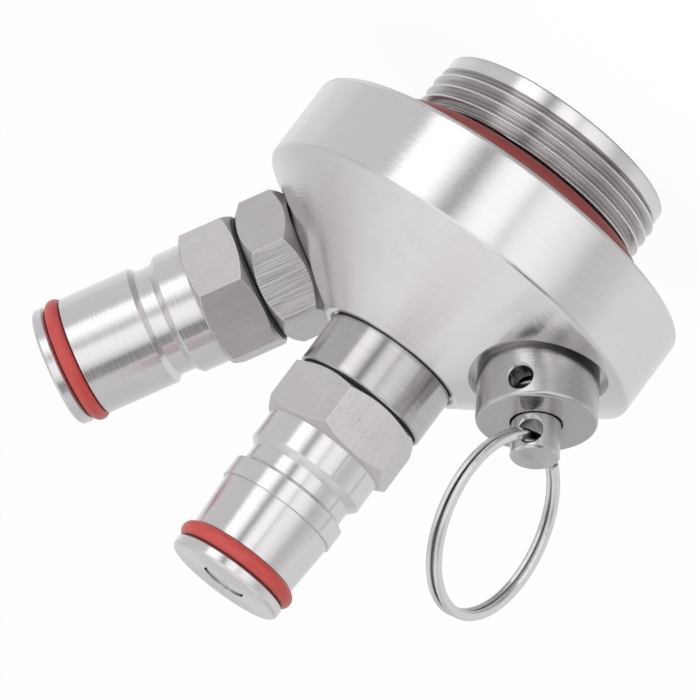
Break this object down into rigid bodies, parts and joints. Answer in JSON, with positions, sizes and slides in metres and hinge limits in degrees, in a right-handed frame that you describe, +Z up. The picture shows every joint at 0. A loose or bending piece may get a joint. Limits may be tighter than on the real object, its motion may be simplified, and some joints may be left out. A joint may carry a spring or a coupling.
{
  "type": "keg cleaning adapter",
  "caption": "Stainless screw-in keg cap with a conical head, upright and angled ball-lock posts, a pull-ring relief valve and red seals.",
  "frame": {"origin": "centre of the neck's tip, where the pilot band ends and the keg's mouth leaves", "axes": "+Z up along the neck and the centre post; the angled side post leans towards +X and the relief valve towards -X"},
  "size_m": [0.0827, 0.061, 0.0791],
  "materials": {
    "turned_steel": "satin turned stainless steel",
    "hex_steel": "coarse brushed stainless steel",
    "post_steel": "fine turned stainless steel",
    "ring_steel": "polished stainless wire",
    "spring_steel": "drawn spring wire",
    "red_silicone": "smooth red silicone",
    "black_rubber": "matt black rubber"
  },
  "bodies": {
    "head": {"head_body": "turned_steel", "neck_seal": "red_silicone", "dip_hose_barb": "turned_steel", "centre_collar_gasket": "black_rubber", "centre_collar": "turned_steel", "centre_post_gasket": "black_rubber", "centre_post_body": "post_steel", "centre_post_oring": "red_silicone", "centre_poppet_spring": "spring_steel", "side_hex_adapter": "hex_steel", "side_adapter_seal": "black_rubber", "side_post_gasket": "black_rubber", "side_post_body": "post_steel", "side_post_oring": "red_silicone", "side_poppet_spring": "spring_steel", "relief_body": "turned_steel", "relief_seat": "turned_steel", "relief_spring": "spring_steel"},
    "centre_plug": {"centre_poppet": "post_steel", "centre_poppet_seal": "black_rubber"},
    "side_plug": {"side_poppet": "post_steel", "side_poppet_seal": "black_rubber"},
    "relief_valve": {"pull_stem": "turned_steel", "relief_disc": "black_rubber"},
    "ring": {"pull_ring": "ring_steel"}
  },
  "joints": [
    {"name": "centre_plug_press", "type": "slide", "parent": "head", "child": "centre_plug", "axis": [0, 0, -1], "range_m": [0, 0.003], "stiffness_N_per_m": 900, "springref_m": -0.003, "deforming": ["centre_poppet_spring"]},
    {"name": "side_plug_press", "type": "slide", "parent": "head", "child": "side_plug", "axis": [-0.5736, 0, -0.8192], "range_m": [0, 0.003], "stiffness_N_per_m": 900, "springref_m": -0.003, "deforming": ["side_poppet_spring"]},
    {"name": "relief_pull", "type": "slide", "parent": "head", "child": "relief_valve", "axis": [-0.5736, 0, 0.8192], "range_m": [0, 0.003], "stiffness_N_per_m": 1500, "springref_m": -0.004, "deforming": ["relief_spring"]},
    {"name": "ring_swing", "type": "hinge", "parent": "relief_valve", "child": "ring", "pos_m": [-0.0267, 0, 0.03993], "axis": [-0.0714, -0.9962, -0.05], "range_deg": [-42, 100]}
  ]
}
